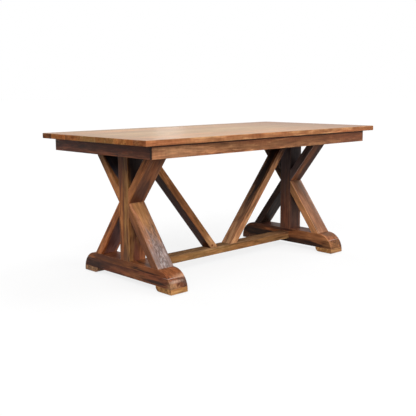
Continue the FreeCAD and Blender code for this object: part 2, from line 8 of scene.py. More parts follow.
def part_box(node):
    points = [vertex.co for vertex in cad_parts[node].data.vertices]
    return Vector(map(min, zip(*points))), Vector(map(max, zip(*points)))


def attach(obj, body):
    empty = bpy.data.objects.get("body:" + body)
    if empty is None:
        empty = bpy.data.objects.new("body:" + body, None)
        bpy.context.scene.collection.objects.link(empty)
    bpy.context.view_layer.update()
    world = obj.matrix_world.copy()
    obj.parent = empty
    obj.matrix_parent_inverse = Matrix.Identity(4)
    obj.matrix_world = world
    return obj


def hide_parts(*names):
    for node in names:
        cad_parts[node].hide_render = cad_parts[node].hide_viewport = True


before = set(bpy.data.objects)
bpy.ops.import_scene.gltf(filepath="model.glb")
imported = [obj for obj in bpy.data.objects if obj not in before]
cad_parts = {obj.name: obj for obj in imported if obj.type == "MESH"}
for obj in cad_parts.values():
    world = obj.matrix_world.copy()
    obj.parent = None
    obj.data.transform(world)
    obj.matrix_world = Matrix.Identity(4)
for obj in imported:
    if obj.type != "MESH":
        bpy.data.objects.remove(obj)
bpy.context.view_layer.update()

# Trestle dining table in oiled and lacquered hardwood, metres.
# The front is the long side at -Y; the left trestle stands at -X.


# Shader nodes

def feed(tree, socket, value):
    if isinstance(value, bpy.types.NodeSocket):
        tree.links.new(value, socket)
    else:
        socket.default_value = value


def add(tree, kind, inputs=None, **settings):
    node = tree.nodes.new("ShaderNode" + kind)
    for name, value in settings.items():
        setattr(node, name, value)
    for name, value in (inputs or {}).items():
        feed(tree, node.inputs[name], value)
    return node


def sums(tree, operation, first, second=0.0):
    return add(tree, "Math", {0: first, 1: second}, operation=operation).outputs[0]


def vectors(tree, operation, first, second):
    return add(tree, "VectorMath", {0: first, 1: second}, operation=operation).outputs[0]


def measure(tree, operation, *inputs):
    return add(tree, "VectorMath", dict(enumerate(inputs)), operation=operation).outputs["Value"]


def weighed(tree, *terms):
    total = None
    for value, weight in terms:
        if isinstance(value, bpy.types.NodeSocket):
            term = sums(tree, "MULTIPLY", value, weight)
        else:
            term = value * weight
        total = term if total is None else sums(tree, "ADD", total, term)
    return total


def stretched(tree, place, along, across):
    return vectors(tree, "MULTIPLY", place, (along, across, across))


def noise(tree, vector, seed=None, detail=2.0, roughness=0.5):
    inputs = {"Vector": vector, "Scale": 1.0, "Detail": detail, "Roughness": roughness}
    if seed is not None:
        inputs["W"] = seed
    return add(tree, "TexNoise", inputs, noise_dimensions="3D" if seed is None else "4D").outputs


def rise(tree, value, low, high, top=1.0):
    inputs = {"Value": value, "From Min": low, "From Max": high, "To Min": 0.0, "To Max": top}
    return add(tree, "MapRange", inputs, interpolation_type="SMOOTHSTEP").outputs["Result"]


def blended(tree, share, first, second, way="MIX"):
    node = tree.nodes.new("ShaderNodeMix")
    node.data_type = "RGBA"
    node.blend_type = way
    node.clamp_factor = True
    feed(tree, node.inputs[0], share)
    feed(tree, node.inputs[6], first)
    feed(tree, node.inputs[7], second)
    return node.outputs[2]


def tinted(tree, colour, tint):
    return blended(tree, 1.0, colour, tint, "MULTIPLY")


def grey(tree, value):
    return add(tree, "CombineColor", {0: value, 1: value, 2: value}).outputs[0]


def new_group(name, inputs, outputs):
    group = bpy.data.node_groups.new(name, "ShaderNodeTree")
    for label, kind, value in inputs:
        socket = group.interface.new_socket(label, in_out="INPUT", socket_type="NodeSocket" + kind)
        if value is not None:
            socket.default_value = value
    for label, kind in outputs:
        group.interface.new_socket(label, in_out="OUTPUT", socket_type="NodeSocket" + kind)
    start = group.nodes.new("NodeGroupInput")
    end = group.nodes.new("NodeGroupOutput")
    return group, start.outputs, end.inputs


def place_group(tree, group, inputs):
    node = tree.nodes.new("ShaderNodeGroup")
    node.node_tree = group
    for name, value in inputs.items():
        feed(tree, node.inputs[name], value)
    return node.outputs


# A colour as a paint card gives it, 0 to 255 a channel

def tone(red, green, blue):
    def level(value):
        share = value / 255
        return share / 12.92 if share <= 0.04045 else ((share + 0.055) / 1.055) ** 2.4
    return (level(red), level(green), level(blue), 1.0)


# Timber: broad zones of colour, streaks, growth rings round the heart of the log, fibre and open
# pores. Place has X along the grain and its origin at the heart. Curl is the ripple across the
# grain, and Depth is how strongly all the fine lines show. Where a surface faces along Grain, the
# end grain soaks up the finish. Tone is the colour, and Lines are its fine lines alone, about 1.

WANDER = 0.02
COOL = (0.94, 1.0, 0.99, 1.0)
WARM = (1.05, 0.95, 0.92, 1.0)
SOAKED = (0.88, 0.76, 0.64, 1.0)
LINES_MEAN = 1.3


def timber_group():
    group, given, result = new_group("Timber", [
        ("Place", "Vector", None),
        ("Pale", "Color", tone(190, 140, 95)),
        ("Body", "Color", tone(150, 100, 62)),
        ("Dark", "Color", tone(70, 40, 26)),
        ("Rings", "Float", 90.0),
        ("Veins", "Float", 0.7),
        ("Curl", "Float", 0.15),
        ("Depth", "Float", 1.0),
        ("Seed", "Float", 0.0),
        ("Grain", "Vector", (1.0, 0.0, 0.0)),
    ], [("Tone", "Color"), ("Gloss", "Float"), ("Relief", "Float"), ("Lines", "Float")])
    place, seed = given["Place"], given["Seed"]
    drift = noise(group, stretched(group, place, 2.2, 7.0), seed)["Color"]
    centred = vectors(group, "SUBTRACT", drift, (0.5, 0.5, 0.5))
    bent = vectors(group, "ADD", place, stretched(group, centred, WANDER, WANDER))

    def field(along, across, shift, detail=3.0, roughness=0.5):
        vector = stretched(group, bent, along, across)
        return noise(group, vector, sums(group, "ADD", seed, shift), detail, roughness)["Fac"]

    lengthwise = add(group, "SeparateXYZ", {0: bent}).outputs["X"]
    radius = measure(group, "LENGTH", stretched(group, bent, 0.0, 1.0))
    ring_place = add(group, "CombineXYZ", {
        "X": sums(group, "MULTIPLY", lengthwise, 2.2),
        "Y": sums(group, "MULTIPLY", radius, given["Rings"]),
        "Z": seed,
    }).outputs[0]
    rings = noise(group, ring_place, detail=4.0, roughness=0.65)["Fac"]
    broad = field(2.4, 15.0, 5.0, detail=2.0)
    bands = field(4.2, 30.0, 15.0)
    streak = field(9.0, 95.0, 7.0, roughness=0.65)
    mottle = field(14.0, 48.0, 3.0)
    fibre = field(16.0, 620.0, 0.0, roughness=0.65)
    zones = weighed(group, (broad, 0.4), (streak, 0.3), (rings, 0.15), (mottle, 0.15))
    colour = blended(group, rise(group, zones, 0.48, 0.57), given["Body"], given["Pale"])
    vein = rise(group, weighed(group, (bands, 0.5), (streak, 0.35), (rings, 0.15)), 0.475, 0.4)
    colour = blended(group, sums(group, "MULTIPLY", vein, given["Veins"]), colour, given["Dark"])
    blush = rise(group, field(3.0, 22.0, 23.0), 0.38, 0.62)
    colour = tinted(group, colour, blended(group, blush, COOL, WARM))
    ripple = sums(group, "SUBTRACT", field(70.0, 34.0, 27.0), 0.5)
    curl = sums(group, "MULTIPLY", ripple, given["Curl"])
    lines = weighed(group, (fibre, 0.5), (mottle, 1.0), (streak, 1.1), (curl, 1.0),
                    (1.0, -LINES_MEAN))
    lines = sums(group, "ADD", sums(group, "MULTIPLY", lines, given["Depth"]), 1.0)
    colour = tinted(group, colour, grey(group, lines))
    pore = rise(group, field(60.0, 1500.0, 9.0, detail=1.0), 0.6, 0.7, 0.45)
    colour = blended(group, pore, colour, given["Dark"])
    facing = measure(group, "DOT_PRODUCT", add(group, "TexCoord").outputs["Normal"], given["Grain"])
    end_grain = rise(group, sums(group, "ABSOLUTE", facing), 0.75, 0.95)
    colour = blended(group, end_grain, colour, tinted(group, colour, SOAKED))
    feed(group, result["Tone"], colour)
    feed(group, result["Lines"], lines)
    feed(group, result["Gloss"], weighed(group, (fibre, 0.6), (pore, 0.6), (end_grain, 0.4)))
    feed(group, result["Relief"], weighed(group, (fibre, 0.35), (pore, -1.0), (mottle, 0.25)))
    return group


# Stain: a soft patch where the heartwood or the finish runs darker or paler, also used for painted
# shade, painted shadows and painted highlights. Its edge can be ragged along the grain, and Grit
# breaks it into spots.

def stain_and_painted_light_group():
    group, given, result = new_group("Stain", [
        ("Where", "Vector", None),
        ("Place", "Vector", None),
        ("Centre", "Vector", (0.0, 0.0, 0.0)),
        ("Reach", "Vector", (1.0, 1.0, 1.0)),
        ("Softness", "Float", 0.55),
        ("Grit", "Float", 0.0),
        ("Ragged", "Float", 1.0),
        ("Seed", "Float", 0.0),
    ], [("Mask", "Float")])
    place, seed = given["Place"], given["Seed"]
    offset = vectors(group, "SUBTRACT", given["Where"], given["Centre"])
    distance = measure(group, "LENGTH", vectors(group, "DIVIDE", offset, given["Reach"]))
    ragged = noise(group, stretched(group, place, 7.0, 60.0), seed, detail=3.0)["Fac"]
    wave = sums(group, "MULTIPLY", weighed(group, (ragged, 2.6), (1.0, -1.3)), given["Softness"])
    wave = sums(group, "MULTIPLY", wave, given["Ragged"])
    inner = sums(group, "SUBTRACT", 1.0, given["Softness"])
    mask = rise(group, sums(group, "ADD", distance, wave), 1.0, inner)
    fine_place = stretched(group, place, 45.0, 110.0)
    spots = noise(group, fine_place, seed, detail=4.0, roughness=0.6)["Fac"]
    gaps = sums(group, "MULTIPLY", rise(group, spots, 0.6, 0.42), given["Grit"])
    feed(group, result["Mask"], sums(group, "MULTIPLY", mask, sums(group, "SUBTRACT", 1.0, gaps)))
    return group


# Seam: where two glued layers of a member meet. Side tells them apart, and Line is the line along
# the seam: the glue line, and on the feet a painted highlight.

SEAM_BLUR = 0.0004
LINE_REACH = 0.0016
LINE_CORE = 0.0002


def seam_group():
    group, given, result = new_group("Seam", [
        ("Level", "Float", 0.0),
        ("At", "Float", 0.0),
    ], [("Side", "Float"), ("Line", "Float")])
    above = sums(group, "SUBTRACT", given["Level"], given["At"])
    feed(group, result["Side"], rise(group, above, -SEAM_BLUR, SEAM_BLUR))
    apart = sums(group, "ABSOLUTE", above)
    feed(group, result["Line"], rise(group, apart, LINE_REACH, LINE_CORE))
    return group


# Arris: where two faces meet the finish is rubbed thin, unevenly along the edge, and the paler
# rubbed colour also paints in the highlight that the edge catches. WornAndHighlit is that share,
# and Normal the softened edge.

ARRIS_RADIUS = 0.0035


def arris_group():
    group, given, result = new_group("Arris", [
        ("Place", "Vector", None),
        ("Seed", "Float", 0.0),
    ], [("WornAndHighlit", "Float"), ("Normal", "Vector")])
    soft = add(group, "Bevel", {"Radius": ARRIS_RADIUS}, samples=6).outputs[0]
    flat = add(group, "NewGeometry").outputs["Normal"]
    turned = sums(group, "SUBTRACT", 1.0, measure(group, "DOT_PRODUCT", soft, flat))
    rub_place = stretched(group, given["Place"], 30.0, 30.0)
    rub = noise(group, rub_place, given["Seed"], detail=3.0)["Fac"]
    worn_and_highlit = sums(group, "MULTIPLY", rise(group, turned, 0.01, 0.2), rise(group, rub, 0.3, 0.62))
    feed(group, result["WornAndHighlit"], worn_and_highlit)
    feed(group, result["Normal"], soft)
    return group


TIMBER = timber_group()
STAIN_AND_PAINTED_LIGHT = stain_and_painted_light_group()
SEAM = seam_group()
ARRIS = arris_group()


# The turn of a member's grain: local X runs along it

ALONG_X = (0.0, 0.0, 0.0)
ALONG_Y = (0.0, 0.0, math.pi / 2)
ALONG_Z = (0.0, -math.pi / 2, 0.0)

# Relief, edge wear with its painted edge highlight, glue lines and lacquer, and what sets the seeds
# of layers and marks apart

FINE_BUMP = 0.0002
GRAIN_STRENGTH = 0.5
SPOTS_STRENGTH = 0.3
RUBBED_AND_HIGHLIT = tone(196, 146, 104)
RUBBED_AND_HIGHLIT_SHARE = 0.5
LINE_SHARE = 0.7
LINE_FADE = 0.03
LACQUER_EDGE = 0.001
LACQUER_ROUGHNESS = 0.28
OTHER_LAYER_SEED = 31.0
MARKS_SEED = 50.0


# Where the heart of the log lies, across the grain from the middle of a member

def heart_of(node, turn, heart):
    low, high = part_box(node)
    return (low + high) / 2 + Euler(turn).to_matrix() @ Vector((0.0, *heart))


def timber(tree, place, colours, figure, seed):
    pale, body, dark = colours
    inputs = {"Place": place, "Pale": pale, "Body": body, "Dark": dark, "Seed": seed, **figure}
    return place_group(tree, TIMBER, inputs)


# Stains and painted shade and light are given as patches by centre, reach, colour, strength and
# softness, and some by how much they are broken into spots (0 if left out) and how ragged their
# edge is (1 if left out). They carry the wood's fine lines.

def apply_stains_and_painted_light(tree, colour, where, place, stains, seed, lines=1.0):
    grain = grey(tree, lines)
    for number, (centre, reach, stain, amount, softness, *edge) in enumerate(stains):
        grit, ragged = (*edge, *(0.0, 1.0)[len(edge):])
        mask = place_group(tree, STAIN_AND_PAINTED_LIGHT, {
            "Where": where,
            "Place": place,
            "Centre": centre,
            "Reach": reach,
            "Softness": softness,
            "Grit": grit,
            "Ragged": ragged,
            "Seed": seed + number,
        })[0]
        share = sums(tree, "MULTIPLY", mask, amount)
        colour = blended(tree, share, colour, tinted(tree, stain, grain))
    return colour


def new_material(name):
    material = bpy.data.materials.new(name)
    material.use_nodes = True
    material.node_tree.nodes.clear()
    return material, material.node_tree


def principled(tree, strength, relief, normal, inputs):
    bumped = {"Strength": strength, "Distance": FINE_BUMP, "Height": relief, "Normal": normal}
    bump = add(tree, "Bump", bumped).outputs[0]
    finish = add(tree, "BsdfPrincipled", {"Normal": bump, **inputs})
    output = tree.nodes.new("ShaderNodeOutputMaterial")
    tree.links.new(finish.outputs[0], output.inputs[0])


# A member's finish. A member glued from two layers has them split at a level of an axis, with the
# glue line's colour and where along Y it starts to show. Stains and painted shade and light lie
# under the rubbed edges with their painted edge highlight, and marks and painted shadow lines over
# them.
# Gleam is how much the bare wood shines, and polish the lacquer over it, which can be kept to what
# lies above a height.

def wood(node, turn, colours, seed, heart=(0.05, 0.09), rings=90.0, veins=0.7, curl=0.15,
         depth=1.0, soaks=True, layer=None, stains=(), marks=(), gleam=0.1, polish=0.05,
         polished_above=None):
    material, tree = new_material(node + "_wood")
    where = add(tree, "TexCoord").outputs["Object"]
    mapping = {"Vector": where, "Location": heart_of(node, turn, heart), "Rotation": turn}
    place = add(tree, "Mapping", mapping, vector_type="TEXTURE").outputs[0]
    grain = Euler(turn).to_matrix() @ Vector((1.0, 0.0, 0.0)) if soaks else Vector()
    figure = {"Rings": rings, "Veins": veins, "Curl": curl, "Depth": depth, "Grain": grain}
    colour, gloss, relief, lines = timber(tree, place, colours, figure, seed)
    if layer:
        axis, at, other, line_colour, line_from = layer
        other_colour = timber(tree, place, other, figure, seed + OTHER_LAYER_SEED)[0]
        places = add(tree, "SeparateXYZ", {0: where}).outputs
        side, line = place_group(tree, SEAM, {"Level": places[axis], "At": at})
        colour = blended(tree, side, colour, other_colour)
        outward = sums(tree, "ABSOLUTE", places["Y"])
        shown = rise(tree, outward, line_from, line_from + LINE_FADE, LINE_SHARE)
        colour = blended(tree, sums(tree, "MULTIPLY", line, shown), colour, line_colour)
    colour = apply_stains_and_painted_light(tree, colour, where, place, stains, seed, lines)
    worn_and_highlit, normal = place_group(tree, ARRIS, {"Place": place, "Seed": seed})
    # The rubbed colour on the arrises is partly wear and partly a painted edge highlight.
    colour = blended(tree, sums(tree, "MULTIPLY", worn_and_highlit, RUBBED_AND_HIGHLIT_SHARE), colour, RUBBED_AND_HIGHLIT)
    colour = apply_stains_and_painted_light(tree, colour, where, place, marks, seed + MARKS_SEED)
    if polished_above is not None:
        height = add(tree, "SeparateXYZ", {0: where}).outputs["Z"]
        from_level, to_level = polished_above - LACQUER_EDGE, polished_above + LACQUER_EDGE
        polish = rise(tree, height, from_level, to_level, polish)
    principled(tree, GRAIN_STRENGTH, relief, normal, {
        "Base Color": colour,
        "Roughness": weighed(tree, (gloss, 0.22), (worn_and_highlit, 0.1), (1.0, 0.4)),
        "Specular IOR Level": gleam,
        "Coat Weight": polish,
        "Coat Roughness": LACQUER_ROUGHNESS,
    })
    return material


# Small parts under the top: plated steel, brass and moulded plastic

FINER = 9.0


def plain_finish(name, colour, dark, metal, low, high, scale):
    material, tree = new_material(name)
    where = add(tree, "TexCoord").outputs["Object"]
    spots = noise(tree, stretched(tree, where, scale, scale), 2.0, detail=4.0)["Fac"]
    fine = noise(tree, stretched(tree, where, scale * FINER, scale * FINER), 4.0)["Fac"]
    normal = place_group(tree, ARRIS, {"Place": where, "Seed": 1.0})["Normal"]
    principled(tree, SPOTS_STRENGTH, fine, normal, {
        "Base Color": blended(tree, rise(tree, spots, 0.35, 0.7), colour, dark),
        "Roughness": sums(tree, "ADD", low, sums(tree, "MULTIPLY", spots, high - low)),
        "Metallic": metal,
    })
    return material


PLATED = plain_finish("plated_steel", tone(186, 188, 184), tone(128, 130, 128),
                      metal=1.0, low=0.28, high=0.5, scale=220.0)
BRASS = plain_finish("insert_brass", tone(196, 160, 88), tone(140, 108, 54),
                     metal=1.0, low=0.25, high=0.45, scale=260.0)
PLASTIC = plain_finish("glide_plastic", tone(38, 36, 35), tone(26, 25, 25),
                       metal=0.0, low=0.5, high=0.65, scale=400.0)

# Colours of the members, each as pale, body and dark, and of stains, painted shade and painted
# highlights

HONEY = (tone(180, 126, 80), tone(144, 94, 58), tone(76, 42, 28))
GOLDEN = (tone(188, 144, 96), tone(160, 116, 72), tone(100, 66, 42))
OLIVE = (tone(162, 112, 66), tone(134, 86, 50), tone(84, 46, 30))
COCOA = (tone(132, 86, 54), tone(104, 64, 40), tone(52, 32, 24))
RUSSET = (tone(154, 96, 60), tone(122, 72, 44), tone(58, 34, 25))
WALNUT = (tone(122, 80, 54), tone(92, 58, 42), tone(46, 30, 25))
UMBER = (tone(104, 70, 50), tone(76, 48, 36), tone(38, 27, 23))
EBONY = (tone(74, 54, 44), tone(52, 38, 33), tone(30, 24, 23))
CHESTNUT = (tone(138, 90, 58), tone(106, 66, 44), tone(50, 31, 25))
PEACH = (tone(180, 128, 88), tone(146, 96, 64), tone(80, 46, 33))
SAND = (tone(202, 150, 106), tone(172, 118, 80), tone(100, 60, 42))
BARK = (tone(168, 120, 88), tone(142, 98, 70), tone(86, 56, 43))
LIGHT_AMBER = (tone(207, 145, 91), tone(175, 115, 70), tone(101, 59, 36))
FLAME = (tone(219, 146, 91), tone(187, 116, 70), tone(108, 59, 36))
RUST = (tone(186, 116, 68), tone(157, 91, 52), tone(90, 46, 26))
MAROON = (tone(128, 76, 52), tone(98, 55, 39), tone(48, 28, 24))
STRAW = (tone(186, 138, 92), tone(148, 106, 66), tone(84, 54, 34))
TAN = (tone(190, 153, 110), tone(166, 128, 84), tone(118, 82, 52))
ROSY = (tone(196, 140, 97), tone(170, 111, 73), tone(107, 61, 42))
BLOOD = tone(118, 54, 32)
PAINTED_CREASE_HIGHLIGHT = tone(188, 170, 160)
NEAR_BLACK = tone(34, 26, 24)
MAUVE_AND_PAINTED_SHEEN = tone(132, 112, 106)
RED_BROWN = tone(92, 54, 38)
SMOKE = tone(72, 62, 58)


def paint(node, material):
    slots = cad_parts[node].data.materials
    slots.clear()
    slots.append(material)


def paint_wood(node, turn, colours, seed, **settings):
    paint(node, wood(node, turn, colours, seed, **settings))


# A patch's reach where it takes in the whole member
ALL = 9.0

# Boards of the top, from the front; their upper face is paler, partly bleached and partly a painted
# sheen, and has painted shade towards both ends
BOARDS = (ROSY, LIGHT_AMBER, GOLDEN, TAN, HONEY, LIGHT_AMBER, CHESTNUT)
BLEACHED_AND_SHEEN = tone(182, 146, 98)
JOINT = tone(88, 58, 38)
SKIN = 0.002
LACQUERED_DEPTH = 0.0015
NEAR_CORNER = ((-0.9, -0.4, 0.77), (0.004, 0.06, 0.03), tone(106, 60, 38), 0.4, 0.3)
FAR_CORNER = ((0.9, -0.45, 0.77), (0.4, 0.01, 0.03), tone(150, 92, 58), 0.6, 0.9)
FRONT_EDGE = ((0.02, -0.45, 0.77), (0.3, 0.01, 0.03), tone(132, 78, 48), 0.75, 0.9)
top_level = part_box("top_plank_4")[1].z
top_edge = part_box("top_plank_7")[1].y
TOP_FACE = [
    # Paler upper face: bleaching, with the pale sheen of the top at a low angle painted in.
    ((0.0, 0.0, top_level), (ALL, ALL, SKIN), BLEACHED_AND_SHEEN, 0.5, 0.5),
    # Painted shade: the top face darker towards both ends, standing in for the reflection of the
    # studio fading there.
    ((1.2, 0.0, top_level), (1.15, ALL, SKIN), COCOA[0], 0.9, 0.9, 0.0, 0.25),
    ((-1.1, 0.0, top_level), (0.5, ALL, SKIN), COCOA[0], 0.65, 0.9, 0.0, 0.25),
]
for number, colours in enumerate(BOARDS, start=1):
    heart = (0.02 * (-1) ** number, -0.08 - 0.01 * number)
    low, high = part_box(f"top_plank_{number}")
    joints = [((0.0, y, top_level), (ALL, 0.0015, 0.004), JOINT, 0.85, 0.5, 0.0, 0.3)
              for y in (low.y, high.y) if abs(y) < top_edge - 0.001]
    edges = [NEAR_CORNER, FAR_CORNER, FRONT_EDGE] if number == 1 else []
    strength = 0.8 if number == 1 else 0.5
    paint_wood(f"top_plank_{number}", ALONG_X, colours, 3.0 * number, heart=heart, rings=70.0,
               veins=0.35, curl=strength, depth=strength, stains=TOP_FACE + edges, marks=joints,
               gleam=0.05, polish=0.4, polished_above=top_level - LACQUERED_DEPTH)

# Aprons; a dark line shows where they are mitred, and a painted shadow line where the front one
# meets the top
APRON_FACE = -0.413
MITRE_LINE = ((-0.843, APRON_FACE, 0.724), (0.008, 0.01, 0.2), tone(30, 15, 12), 0.95, 0.3)
# Painted shadow: a dark band along the top of the front apron, cast by the overhanging top.
PAINTED_TOP_SHADOW_LINE = ((0.0, APRON_FACE, 0.759), (ALL, 0.01, 0.0135), tone(46, 22, 17), 0.9, 0.25)
FRONT_APRON_STAINS = [
    ((-0.7, APRON_FACE, 0.72), (0.3, 0.03, 0.07), tone(206, 154, 112), 0.45, 0.9, 0.0, 0.5),
    ((-0.84, APRON_FACE, 0.72), (0.1, 0.03, 0.06), BLOOD, 0.4, 0.9),
    ((0.84, APRON_FACE, 0.7), (0.95, 0.03, 0.1), tone(112, 62, 42), 0.6, 0.95, 0.0, 0.5),
]
paint_wood("front_apron", ALONG_X, PEACH, 41.0, veins=0.35, curl=0.5, stains=FRONT_APRON_STAINS,
           marks=[MITRE_LINE, PAINTED_TOP_SHADOW_LINE])
paint_wood("rear_apron", ALONG_X, HONEY, 44.0)
paint_wood("left_apron", ALONG_Y, MAROON, 47.0, marks=[MITRE_LINE])
paint_wood("right_apron", ALONG_Y, WALNUT, 49.0)

# Slopes of the struts and the braces, each from its rise and run
STRUT_SLOPE = math.atan2(0.659, 0.5415)
LOWER_SLOPE = math.atan2(0.312, 0.232)
UPPER_SLOPE = math.atan2(0.298, 0.232)

# Trestles
TILTS = {
    ("front", "upper"): (0.0, -(math.pi - UPPER_SLOPE), math.pi / 2),
    ("rear", "upper"): (0.0, -UPPER_SLOPE, math.pi / 2),
    ("front", "lower"): (0.0, -LOWER_SLOPE, math.pi / 2),
    ("rear", "lower"): (0.0, -(math.pi - LOWER_SLOPE), math.pi / 2),
}
BRACE_COLOURS = {
    "left_front_upper": FLAME,
    "left_rear_upper": LIGHT_AMBER,
    "left_front_lower": BARK,
    "left_rear_lower": RUST,
    "right_front_upper": RUSSET,
    "right_rear_upper": UMBER,
    "right_front_lower": BARK,
    "right_rear_lower": EBONY,
}
PAD_COLOURS = {
    "left_front_pad": (tone(188, 140, 88), tone(160, 110, 64), tone(100, 62, 38)),
    "left_rear_pad": (tone(166, 126, 92), tone(140, 100, 70), tone(86, 58, 42)),
    "right_front_pad": (tone(196, 144, 92), tone(168, 114, 68), tone(96, 60, 38)),
    "right_rear_pad": WALNUT,
}
